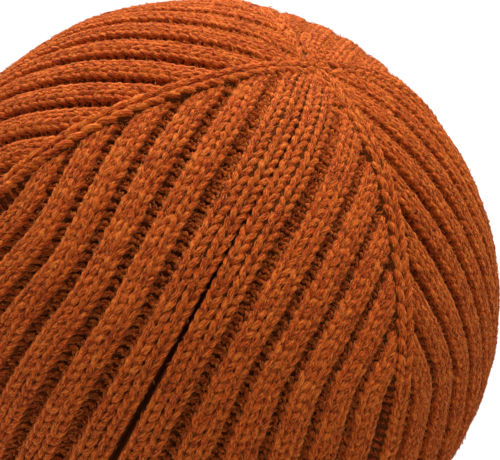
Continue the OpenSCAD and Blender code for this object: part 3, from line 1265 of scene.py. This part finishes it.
    def finish(
        self, store: MeshStore, name: str, nodes: tuple[str, ...], material: bpy.types.Material,
    ) -> None:
        """Makes a piece of what store holds and ties it to the frame.

        Args:
            store: Its points and faces.
            name: The piece's name.
            nodes: CAD nodes that it stands for.
            material: Its finish.
        """
        piece = store.to_object(name, material)
        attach(piece, "root")
        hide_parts(*nodes)
        self.pieces.append(piece)
        LOG.info("%s: %d faces", name, len(piece.data.polygons))

    def dress(
        self, node: str, curves: list[Strand], radius: float, sides: int, fibres: float
    ) -> None:
        """Makes a section's loops, and the loose fibres that stand on them.

        Args:
            node: CAD node that they stand for.
            curves: The section's yarn.
            radius: The yarn's radius.
            sides: Corners of its section.
            fibres: Fibres for each point of the yarn.
        """
        store, halo = MeshStore(), MeshStore()
        store.tubes(curves, radius, sides, self.rng, halo, fibres)
        self.finish(store, f"{node}_loops", (node,), self.wool)
        self.finish(halo, f"{node}_fibres", (node,), self.fuzz)

    def rows_to(self, start: float, end: float) -> np.ndarray:
        """Rows of a backing, in distances from the tip, the last of them at its end."""
        return np.concatenate([np.arange(start, end, self.knit.backing_row), [end]])

    def backing(
        self,
        node: str,
        rows: np.ndarray,
        across: OnFabric,
        columns: np.ndarray,
        middle: float,
        lift_of: OnFabric,
        closed: bool = False,
    ) -> None:
        """A section's backing: a thin closed sheet in the middle of the loops, dark as painted
        shade.

        Args:
            node: CAD node that it stands for.
            rows: Distances from the tip.
            across: Gives w for s and a column.
            columns: Columns, from one edge to the other.
            middle: Angle of the section's middle, in degrees.
            lift_of: Gives the relief for s and w.
            closed: Whether it is a ring.
        """
        s = np.repeat(rows[:, None], len(columns), 1)
        w = across(s, columns[None])
        lift = lift_of(s, w)
        fill = self.knit.core_fill * (1 - ease((s - self.knit.fill_from) / self.knit.fill_run))
        fill = fill * (1 - self.relief.sunk(lift))
        front, _ = self.form.place(s, w, middle, lift + self.knit.core_front + fill)
        back, _ = self.form.place(s, w, middle, lift + self.knit.core_back)
        store = MeshStore()
        store.sheet(front, back, closed)
        self.finish(store, f"{node}_backing", (node,), self.backing_shade)


@dataclass
class GorePanel:
    """One gore, or one half of the gore that the back seam closes."""

    node: str
    gore: Gore
    side: int = 0  # -1 and 1 are the halves left and right of the seam
    split_at: float = 146.0  # how far from the tip the crown's finer loops end
    fine: int = 10
    plain: int = 8
    backing_from: float = 0.62
    backing_short: float = 0.33

    def build(self, maker: KnitBuilder) -> None:
        """Knits the panel: its crown, its lower side and its backing.

        Args:
            maker: Builder with the shared surface and finishes.
        """
        form, knit = maker.form, maker.knit
        left, right = (0 if self.side > 0 else 1), (0 if self.side < 0 else 1)
        last = (form.sizes.gore_ribs - 1) / 2
        wales = rib_wales(-last * left, last * right, (0.0,) if self.side else (), knit)

        def to_line(s: np.ndarray, w: np.ndarray) -> np.ndarray:
            """Ribs short of the line beside the gore."""
            return form.half_ribs(s) - maker.line_half(s) - np.abs(w)

        def lift_of(s: np.ndarray, w: np.ndarray, share: float = 1.0) -> np.ndarray:
            """Relief of the gore, with a share of the grooves' rise to the line."""
            front = form.front(s, w, self.gore.value)
            return maker.relief.gore(s, w, to_line(s, w), bool(self.side), front, share)

        def close_seam(s: np.ndarray, w: np.ndarray) -> np.ndarray:
            """Draws the ribs beside the seam together towards the tip, with a straight edge."""
            gap = ease((s - knit.seam_from) / knit.seam_run)
            near = np.exp(-((w / knit.seam_reach) ** 2))
            w = w - self.side * knit.seam_gap * (1 - gap) * near
            edge = knit.seam_shut + (knit.seam_open - knit.seam_shut) * gap
            return self.side * np.maximum(self.side * w, edge)

        tuck = (knit.tuck * left, knit.tuck * right)
        crown, low = [], []
        for number in range(1, int(form.path.neck_end / form.sizes.course) + 1):
            s = form.s_of(float(number), wales.centre)
            under = np.where(wales.face > 0, knit.knit_under_line, knit.purl_under_line)
            here = wales.cut(to_line(s, wales.centre) > -under * wales.width)
            fine = number * form.sizes.course < self.split_at
            yarn = maker.course(
                number, here, self.gore.value, self.fine if fine else self.plain, lift_of,
                close_seam if self.side else None, tuck,
            )
            if yarn is not None:
                (crown if fine else low).append(yarn)
        halo = MeshStore()
        for part, curves, density in (
            ("crown", crown, knit.crown_fibres), ("side", low, knit.side_fibres)
        ):
            store = MeshStore()
            store.tubes(curves, knit.yarn_r, knit.gore_sides, maker.rng, halo, density)
            maker.finish(store, f"{self.node}_{part}_loops", (self.node,), maker.wool)
        maker.finish(halo, f"{self.node}_fibres", (self.node,), maker.fuzz)
        across = math.ceil(form.sizes.gore_ribs * (left + right) / 2)
        maker.backing(
            self.node,
            maker.rows_to(form.start_of(self.backing_from), form.path.neck_end),
            lambda s, t: t * (form.half_ribs(s) - self.backing_short),
            np.linspace(-left, right, knit.backing_columns * across + 1),
            self.gore.value,
            lambda s, w: lift_of(s, w, knit.end_share),
        )


@dataclass
class FashioningLine:
    """The wale of doubled loops that runs from the tip down between two gores."""

    node: str
    line: Line
    past: float = 0.12  # how far the yarn runs in beyond the doubled loop, in ribs
    drop: float = 1.5  # and how far it drops behind there, in millimetres
    bow: float = 0.35
    nearest: float = 0.25
    backing_from: float = 1.6
    backing_half: float = 0.36
    columns: int = 13

    def build(self, maker: KnitBuilder) -> None:
        """Knits the line's rib and its backing.

        Args:
            maker: Builder with the shared surface and finishes.
        """
        form, knit = maker.form, maker.knit

        def lift_of(s: np.ndarray, w: np.ndarray) -> np.ndarray:
            """Relief of the line."""
            return maker.relief.line(s, w, form.front(s, w, self.line.value))

        curves = [
            self._course(maker, number, lift_of)
            for number in range(1, int(form.path.neck_end / form.sizes.course) + 1)
        ]
        maker.dress(
            self.node, curves, knit.yarn_r, knit.line_sides, knit.line_fibres
        )
        maker.backing(
            self.node,
            maker.rows_to(self.backing_from, form.path.neck_end),
            lambda s, t: t * np.minimum(self.backing_half, form.half_ribs(s)),
            np.linspace(-1, 1, self.columns),
            self.line.value,
            lift_of,
        )

    def _course(self, maker: KnitBuilder, number: int, lift_of: OnFabric) -> Strand:
        """One course across the line, met in a chevron by those of the gores beside it."""
        form, knit = maker.form, maker.knit
        shape = maker.line_loop.sampled(knit.line_samples)
        jitter = maker.rng.normal(0, knit.wobble, (3, 1))
        w = 2 * knit.line_half * (shape[:, 0] + knit.line_wobble * jitter[0])
        v = shape[:, 1] + knit.line_wobble * jitter[1]
        out = shape[:, 2] + jitter[2]
        over = knit.line_half + self.past
        w = np.concatenate([[-over], w, [knit.line_half, over]])
        v = np.concatenate([v[:1], v, v[:1], v[:1]])
        out = np.concatenate([[-self.drop], out, [out[0], -self.drop]])
        s = form.s_of(
            np.maximum(number - v, self.nearest), form.sizes.full_half - self.bow * np.abs(w)
        )
        lift = lift_of(s, w)
        face = np.full(len(w), Face.KNIT.value)
        # Random tone of the course, plus painted shade deep in the grooves and behind other
        # loops.
        tone = maker.rng.normal(0, knit.line_tone_spread) + maker.relief.shade(lift, out, face)
        w = w * maker.line_half(s) / knit.line_half
        points, normals = form.place(s, w, self.line.value, lift + out)
        return Strand(points, normals, tone, knit.line_girth * maker.girth(s, face))


@dataclass
class Headband:
    """The doubled headband: outer layer, fold at the mouth and hidden layer, knitted in one."""

    ribs: int = 52
    samples: int = 8
    backing_row: float = 1.5
    least_rows: int = 4

    def build(self, maker: KnitBuilder) -> None:
        """Knits the three parts.

        Args:
            maker: Builder with the shared surface and finishes.
        """
        path = maker.form.path
        self._ring(maker, "band_outer", path.neck_end, path.fold_start, 5)
        self._ring(maker, "hem_fold", path.fold_start, path.fold_end, 5)
        self._ring(maker, "band_inner", path.fold_end, path.end, 4)

    def _ring(
        self, maker: KnitBuilder, node: str, start: float, end: float, sides: int
    ) -> None:
        """Knits the ring of the headband between two distances from the tip."""
        form, knit = maker.form, maker.knit
        half = self.ribs / 2
        wales = rib_wales(-half, half, (-half, half), knit)

        def lift_of(s: np.ndarray, w: np.ndarray) -> np.ndarray:
            """Relief of the headband."""
            return maker.relief.rise(np.abs(w - np.round(w)))

        course = form.sizes.course
        curves = [
            maker.course(number, wales, Gore.FRONT.value, self.samples, lift_of)
            for number in range(math.floor(start / course) + 1, math.floor(end / course) + 1)
        ]
        maker.dress(node, curves, knit.yarn_r, sides, knit.side_fibres)
        maker.backing(
            node,
            np.linspace(start, end, max(self.least_rows, int((end - start) / self.backing_row))),
            lambda s, t: t + 0 * s,
            np.arange(knit.backing_columns * self.ribs) / knit.backing_columns - half,
            Gore.FRONT.value,
            lift_of,
            closed=True,
        )


@dataclass
class TipGathering:
    """What closes the tip: the last loops, the yarn run through them, and its knot.

    A last loop is given as points out from the middle, across and up, in millimetres.
    """

    LOOP = (
        (2.9, -0.75, -1.7), (1.9, -0.7, -0.75), (0.7, -0.35, -0.55), (0.35, 0.1, -0.75),
        (0.8, 0.4, -0.55), (2.0, 0.7, -0.75), (3.0, 0.75, -1.7),
    )

    petals: int = 8
    sides: int = 8
    loop_r: float = 0.62
    loop_fibres: float = 1.2
    ply_r: float = 0.42
    ply_apart: float = 0.72
    ring_wave: float = 0.18
    ring_bow: float = 0.15
    ring_turns: int = 14
    knot_size: float = 1.3  # its radius for the thickness of the yarn
    knot_wraps: int = 3
    knot_swing: float = 0.55
    knot_bulge: float = 1.1
    knot_fibres: float = 0.6
    tail_lift: float = 0.8
    tail_turns: int = 3

    def build(self, maker: KnitBuilder) -> None:
        """Makes the three pieces.

        Args:
            maker: Builder with the shared surface and finishes.
        """
        self._rosette(maker)
        self._thread(maker)
        self._knot(maker)

    def _rosette(self, maker: KnitBuilder) -> None:
        """The last loops, drawn together so that they lean over the tip."""
        z = maker.form.sizes
        low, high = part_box("tip_rosette")
        middle = np.array([(low.x + high.x) / 2, (low.y + high.y) / 2, high.z]) / MM
        up = np.array([0.0, 0.0, 1.0])
        curves = []
        for k in range(self.petals):
            a = 2 * math.pi * (k + 0.5) / self.petals
            out = np.array([math.cos(a), math.sin(a), 0.0])
            across = np.array([-math.sin(a), math.cos(a), 0.0])
            knots = [middle + out * r + across * q + up * h for r, q, h in self.LOOP]
            points = smooth_line(np.array(knots), 3)
            curves.append(Strand(points, np.tile(up, (len(points), 1))))
        maker.dress("tip_rosette", curves, self.loop_r, self.sides, self.loop_fibres)

    def _plies(self, path: np.ndarray, ref: np.ndarray, turns: float) -> list[Strand]:
        """Two plies twisted round a path."""
        tangent = unit(np.gradient(path, axis=0))
        side = unit(np.cross(tangent, ref))
        up = np.cross(side, tangent)
        turn = np.linspace(0, 2 * math.pi * turns, len(path))
        made = []
        for start in (0.0, math.pi):
            away = side * np.cos(turn + start)[:, None] + up * np.sin(turn + start)[:, None]
            made.append(Strand(path + self.ply_apart * self.ply_r * away, ref))
        return made

    def _thread(self, maker: KnitBuilder) -> None:
        """The drawn yarn, a two-ply ring inside the tip."""
        low, high = (np.array(v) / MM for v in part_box("draw_thread"))
        middle = (low + high) / 2
        radius = (high[0] - low[0]) / 2 - maker.form.sizes.thread_d / 2
        a = np.linspace(0, 2 * math.pi, 145)
        radius = radius + self.ring_wave * np.sin(self.petals * a)
        path = middle + np.stack(
            [radius * np.sin(a), radius * np.cos(a), self.ring_bow * np.sin(5 * a)], -1
        )
        curves = self._plies(path, np.tile([0.0, 0.0, 1.0], (len(a), 1)), self.ring_turns)
        store = MeshStore()
        store.tubes(curves, self.ply_r, self.sides, maker.rng)
        maker.finish(store, "draw_thread_plies", ("draw_thread",), maker.linking)

    def _knot(self, maker: KnitBuilder) -> None:
        """The knot in the drawn yarn: its wraps and two cut tails."""
        low, high = (np.array(v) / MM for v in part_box("draw_knot"))
        knot_r = self.knot_size * maker.form.sizes.thread_d
        top = np.array([(low[0] + high[0]) / 2, (low[1] + high[1]) / 2, high[2] - knot_r])
        a = np.linspace(0, 2 * math.pi * self.knot_wraps, 32 * self.knot_wraps + 1)
        swing = self.knot_swing * np.sin(a / self.knot_wraps)
        near = np.cos(swing)
        ball = top + (knot_r - self.ply_r) * np.stack(
            [np.cos(a) * near, np.sin(swing) * self.knot_bulge, np.sin(a) * near], -1
        )
        curves = [Strand(ball, ball - top)]
        reach = (high[0] - low[0]) / 2
        drop = high[2] - low[2]
        for side in (-1.0, 1.0):
            tail = smooth_line(
                top + np.array([
                    (0.0, 0.3 * side, -0.8), (side * 0.25 * reach, 0.5 * side, -0.3 * drop),
                    (side * 0.55 * reach, 0.2, -0.55 * drop),
                    (side * (reach - self.tail_lift), 0.0, 2.4 * knot_r - drop),
                ]), 12,
            )
            ref = np.tile([0.0, 1.0, 0.2], (len(tail), 1))
            curves += self._plies(tail, ref, self.tail_turns)
        store, halo = MeshStore(), MeshStore()
        store.tubes(curves, self.ply_r, self.sides, maker.rng, halo, self.knot_fibres)
        maker.finish(store, "draw_knot_tails", ("draw_knot",), maker.linking)
        maker.finish(halo, "draw_knot_fibres", ("draw_knot",), maker.linking)


@dataclass
class BackSeam:
    """The linked seam inside the back gore: two turned-in selvedges and their chain of yarn."""

    ROWS = ((0.28, 0.25), (0.70, 0.75))  # how far across and down a selvedge its rows run

    loop_r: float = 0.66
    loop_across: float = 0.55
    loop_along: float = 0.5
    loop_deep: float = 0.75
    loop_tone: float = -0.05
    lag: float = 5.0
    sheet_w: float = 0.45
    chain_r: float = 0.55
    chain_w: float = 1.25
    chain_along: float = 0.42
    chain_deep: float = 0.3
    start: float = 24.0
    margin: float = 4.0

    def build(self, maker: KnitBuilder) -> None:
        """Makes the selvedges and the linking chain.

        Args:
            maker: Builder with the shared surface and finishes.
        """
        form = maker.form
        z = form.sizes
        seat = -z.rib_rise / 2 - z.knit_t - z.join_gap
        end = form.path.neck_end - self.margin
        s = np.arange(self.start, end, z.course / 6)
        beat = 2 * math.pi * (s - self.start) / z.course
        curves = []
        for side in (-1.0, 1.0):
            for row, depth in self.ROWS:
                late = beat + row * self.lag
                across = side * (row * z.selvedge_w / 2 + self.loop_across * np.cos(late))
                lift = seat - depth * z.selvedge_d + self.loop_deep * np.sin(late)
                points, normals = form.place(
                    s + self.loop_along * np.sin(beat), across / form.rib_pitch(s),
                    Gore.BACK.value, lift,
                )
                curves.append(Strand(points, normals, self.loop_tone))
        store = MeshStore()
        store.tubes(curves, self.loop_r, 6, maker.rng)
        maker.finish(store, "seam_selvedge_loops", ("seam_selvedge",), maker.wool)
        maker.backing(
            "seam_selvedge",
            maker.rows_to(self.start, end),
            lambda s, t: t * self.sheet_w * z.selvedge_w / form.rib_pitch(s),
            np.linspace(-1, 1, 7),
            Gore.BACK.value,
            lambda s, w: seat - 0.5 * z.selvedge_d + 0 * s,
        )
        under = seat - z.selvedge_d - 2 * z.join_gap - z.thread_d / 2
        points, normals = form.place(
            s + self.chain_along * z.course * np.sin(beat),
            self.chain_w * np.cos(beat) / form.rib_pitch(s),
            Gore.BACK.value,
            under + self.chain_deep * np.cos(2 * beat),
        )
        store = MeshStore()
        store.tubes([Strand(points, normals)], self.chain_r, 7, maker.rng)
        maker.finish(store, "seam_linking_chain", ("seam_linking",), maker.linking)


@dataclass
class HemStitches:
    """The linking stitches that hold the hidden layer's top edge to the outer layer.

    A stitch is given as points out from the hidden layer and up, in millimetres, and on along the
    edge, in stitches.
    """

    STITCH = (
        (-1.4, -4.4, 0.05), (-1.7, -1.9, 0.2), (-0.3, 0.1, 0.4),
        (2.6, 0.6, 0.55), (4.6, -0.2, 0.75), (4.2, -1.8, 0.9),
    )
    LEAN = (-0.004, -0.004, 0)  # leans the yarn's outer side inward, by the way from the axis

    stitches: int = 104
    yarn_r: float = 0.6

    def build(self, maker: KnitBuilder) -> None:
        """Whips the row of stitches over the hidden edge.

        Args:
            maker: Builder with the shared surface and finishes.
        """
        z = maker.form.sizes
        low, high = (np.array(v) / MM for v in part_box("hem_linking"))
        level = (low[2] + high[2]) / 2
        step = 2 * math.pi / self.stitches
        curves = []
        for k in range(self.stitches):
            knots = []
            for out, up, turn in self.STITCH:
                r, a = z.hidden_radius + out, math.radians(Gore.BACK.value) + (k + turn) * step
                knots.append((r * math.cos(a), r * math.sin(a), level + up))
            points = smooth_line(np.array(knots), 3)
            ref = np.tile([0.0, 0.0, 1.0], (len(points), 1)) + points * self.LEAN
            curves.append(Strand(points, ref))
        store = MeshStore()
        store.tubes(curves, self.yarn_r, 6, maker.rng)
        maker.finish(store, "hem_linking_stitches", ("hem_linking",), maker.linking)


@dataclass(frozen=True)
class Lamp:
    """A square area lamp: its place and side in metres, and its power in watts."""

    name: str
    place: tuple[float, float, float]
    power: float
    size: float


@dataclass
class Studio:
    """Plain pale floor, soft lights and the photograph's camera.

    The camera's angles are in radians, its distances in millimetres.
    """

    LAMPS = (
        Lamp("key", (-0.30, 0.36, 1.05), 17.5, 0.80),
        Lamp("rim", (-0.75, 0.85, 0.60), 14.0, 0.4),
        Lamp("fill", (0.4, -0.9, 0.9), 1.2, 0.8),
    )
    LIT = (0, 0, 0.12)  # the place that the lamps face, in metres

    floor: str = "#f4f2ee"
    floor_side: float = 6.0
    floor_glow: float = 0.8
    sky: float = 0.30
    sky_seen: float = 0.70  # what the camera sees on top of it
    look_height: float = 47.2
    azimuth: float = -0.0086
    elevation: float = 0.6123
    roll: float = 0.5093
    distance: float = 262.5
    lens: float = 59.895
    sensor: float = 36.0
    aim_x: float = 0.0136
    aim_y: float = -0.0543
    tip_level: float = 183.0
    camera: bpy.types.Object = field(default=None, init=False)

    def build(self) -> None:
        """Sets the camera, the floor, the lamps and the world."""
        self._camera()
        self._floor()
        self._lamps()
        self._world()

    def _camera(self) -> None:
        """The camera, settled by the image points by aim, with no shift."""
        data = bpy.data.cameras.new("photo_camera")
        data.sensor_fit = "AUTO"
        data.sensor_width = self.sensor
        data.lens = self.lens
        data.clip_start, data.clip_end = 0.01, 20.0
        self.camera = bpy.data.objects.new("photo_camera", data)
        bpy.context.scene.collection.objects.link(self.camera)
        bpy.context.scene.camera = self.camera
        az, el = self.azimuth, self.elevation
        back = Vector((math.sin(az) * math.cos(el), -math.cos(az) * math.cos(el), math.sin(el)))
        ahead = -back
        right = ahead.cross(Vector((0, 0, 1))).normalized()
        up = right.cross(ahead)
        sweep = Matrix.Rotation(-self.aim_x, 3, up)
        ahead, right = sweep @ ahead, sweep @ right
        tilt = Matrix.Rotation(self.aim_y, 3, right)
        ahead, up = tilt @ ahead, tilt @ up
        across = right * math.cos(self.roll) + up * math.sin(self.roll)
        above = up * math.cos(self.roll) - right * math.sin(self.roll)
        place = Vector((0, 0, self.tip_level - self.look_height)) + back * self.distance
        turn = Matrix((across, above, -ahead)).transposed().to_4x4()
        self.camera.matrix_world = Matrix.Translation(place * MM) @ turn

    def _floor(self) -> None:
        """A pale floor that the camera sees as white paper with the cap's shadow."""
        bpy.ops.mesh.primitive_plane_add(size=self.floor_side)
        floor = bpy.context.object
        floor.name = "studio_floor"
        made, tree = new_material("matt_paper_floor")
        paper = add_node(
            tree, "ShaderNodeBsdfDiffuse", {"Color": linear(self.floor), "Roughness": 1.0}
        )
        white = add_node(tree, "ShaderNodeEmission", {"Strength": 1.0})
        rays = add_node(tree, "ShaderNodeLightPath")
        share = add_node(
            tree, "ShaderNodeMath", {"operation": "MULTIPLY", 1: self.floor_glow},
            {0: rays.outputs["Is Camera Ray"]},
        )
        mixed = add_node(
            tree, "ShaderNodeMixShader", {},
            {0: share.outputs[0], 1: paper.outputs[0], 2: white.outputs[0]},
        )
        add_node(tree, "ShaderNodeOutputMaterial", {}, {"Surface": mixed.outputs[0]})
        floor.data.materials.append(made)

    def _lamps(self) -> None:
        """A wide soft key above and beyond the tip, a rim light behind the left, a weak fill."""
        for lamp in self.LAMPS:
            data = bpy.data.lights.new(lamp.name, "AREA")
            data.energy, data.size = lamp.power, lamp.size
            made = bpy.data.objects.new(lamp.name, data)
            bpy.context.scene.collection.objects.link(made)
            made.location = lamp.place
            aim = Vector(self.LIT) - Vector(lamp.place)
            made.rotation_euler = aim.to_track_quat("-Z", "Y").to_euler()

    def _world(self) -> None:
        """Even pale light from all round, seen as white by the camera."""
        world = bpy.data.worlds.new("white_studio")
        bpy.context.scene.world = world
        world.use_nodes = True
        tree = world.node_tree
        tree.nodes.clear()
        rays = add_node(tree, "ShaderNodeLightPath")
        strength = multiply_add(tree, rays.outputs["Is Camera Ray"], self.sky_seen, self.sky)
        sky = add_node(
            tree, "ShaderNodeBackground", {"Color": (1, 1, 1, 1)}, {"Strength": strength}
        )
        add_node(tree, "ShaderNodeOutputWorld", {}, {"Surface": sky.outputs[0]})


@dataclass
class ImageCheck:
    """Sets the finished cap against the photograph's named points."""

    SHOWN_LIFT = 1.2  # height of a rib's outer face, in millimetres
    SEAM = (20.0, 160.0, 0.25)  # distances from the tip between which it's seen, and their step
    REACH = (0.15, 0.002, 150)  # first distance from the camera, step and steps, in metres

    camera: bpy.types.Object
    form: CapForm
    pieces: list[bpy.types.Object] = field(default_factory=list)

    def ray(self, point: tuple[float, float]) -> Vector:
        """The direction in which the camera sees an image point."""
        data = self.camera.data
        x, y = point
        away = Vector((
            x - PHOTO_W / 2 + data.shift_x * PHOTO_L,
            PHOTO_H / 2 - y + data.shift_y * PHOTO_L,
            -PHOTO_L * data.lens / data.sensor_width,
        ))
        return (self.camera.matrix_world.to_3x3() @ away).normalized()

    def pixels(self, places: np.ndarray) -> np.ndarray:
        """Where places in metres show in the photograph's frame."""
        data = self.camera.data
        view = np.array(self.camera.matrix_world.inverted())
        seen = places @ view[:3, :3].T + view[:3, 3]
        scale = PHOTO_L * data.lens / data.sensor_width / -seen[:, 2]
        return np.stack(
            [PHOTO_W / 2 - data.shift_x * PHOTO_L + seen[:, 0] * scale,
             PHOTO_H / 2 + data.shift_y * PHOTO_L - seen[:, 1] * scale], -1
        )

    def place_on(self, tree: BVHTree, point: tuple[float, float]) -> Vector:
        """Where an image point lies on the finished knit.

        Args:
            tree: The surface that carries it.
            point: Image point, in pixels.

        Returns:
            The place met by the point's ray, or the place nearest the ray on a miss.
        """
        eye = self.camera.matrix_world.translation
        ahead = self.ray(point)
        hit = tree.ray_cast(eye, ahead)[0]
        if hit is not None:
            return hit
        near, step, count = self.REACH
        steps = [eye + ahead * (near + step * k) for k in range(count)]
        return min((tree.find_nearest(p) for p in steps), key=lambda found: found[3])[0]

    def feature(self, name: str) -> np.ndarray:
        """Places of a named feature on the cap's surface, in metres: one, or a whole line."""
        form = self.form
        if name == "tip":
            s, middle = np.zeros(1), Line.BACK_LEFT.value
        elif name.startswith("seam"):
            s, middle = np.arange(*self.SEAM), Gore.BACK.value
        else:
            side, _, groove = name.split("_")
            s = np.array([form.start_of(min(int(groove) + 0.5, form.sizes.full_half - 0.1))])
            middle = (Line.BACK_LEFT if side == "left" else Line.BACK_RIGHT).value
        return form.place(s, 0 * s, middle, 0 * s + self.SHOWN_LIFT)[0] * MM

    def _loops(self) -> tuple[np.ndarray, BVHTree]:
        """The corners of all the knitted loops, in metres, and the surface that they make."""
        corners, faces, count = [], [], 0
        for piece in self.pieces:
            if not piece.name.endswith("loops"):
                continue
            co = np.empty(len(piece.data.vertices) * 3)
            piece.data.vertices.foreach_get("co", co)
            corners.append(co.reshape(-1, 3))
            faces += [[count + i for i in p.vertices] for p in piece.data.polygons]
            count += len(piece.data.vertices)
        places = np.concatenate(corners)
        return places, BVHTree.FromPolygons([Vector(v) for v in places], faces)

    def write(self) -> None:
        """Works out how far each feature shows from its image point, in pixels, but writes
        nothing out.
        """
        places, tree = self._loops()
        for name, point in IMAGE_POINTS.items():
            seen = self.pixels(self.feature(name))
            nearest = int(np.argmin(np.hypot(*(seen - point).T)))
            gap = (Vector(self.feature(name)[nearest]) - self.place_on(tree, point)).length


def main() -> None:
    """Builds the scene: camera and stage, then the cap from the tip to the mouth."""
    logging.basicConfig(level=logging.INFO, format="%(message)s")
    bpy.context.scene.view_settings.view_transform = "Standard"
    studio = Studio()
    studio.build()
    form = CapForm(CapSizes())
    maker = KnitBuilder(form, Stitching(), Relief())
    for line in Line:
        FashioningLine(f"line_{line.name.lower()}", line).build(maker)
    GorePanel("gore_back_left", Gore.BACK, -1).build(maker)
    GorePanel("gore_back_right", Gore.BACK, 1).build(maker)
    for gore in (Gore.RIGHT, Gore.FRONT, Gore.LEFT):
        GorePanel(f"gore_{gore.name.lower()}", gore).build(maker)
    Headband().build(maker)
    TipGathering().build(maker)
    BackSeam().build(maker)
    HemStitches().build(maker)
    ImageCheck(studio.camera, form, maker.pieces).write()


if __name__ == "__main__":
    main()
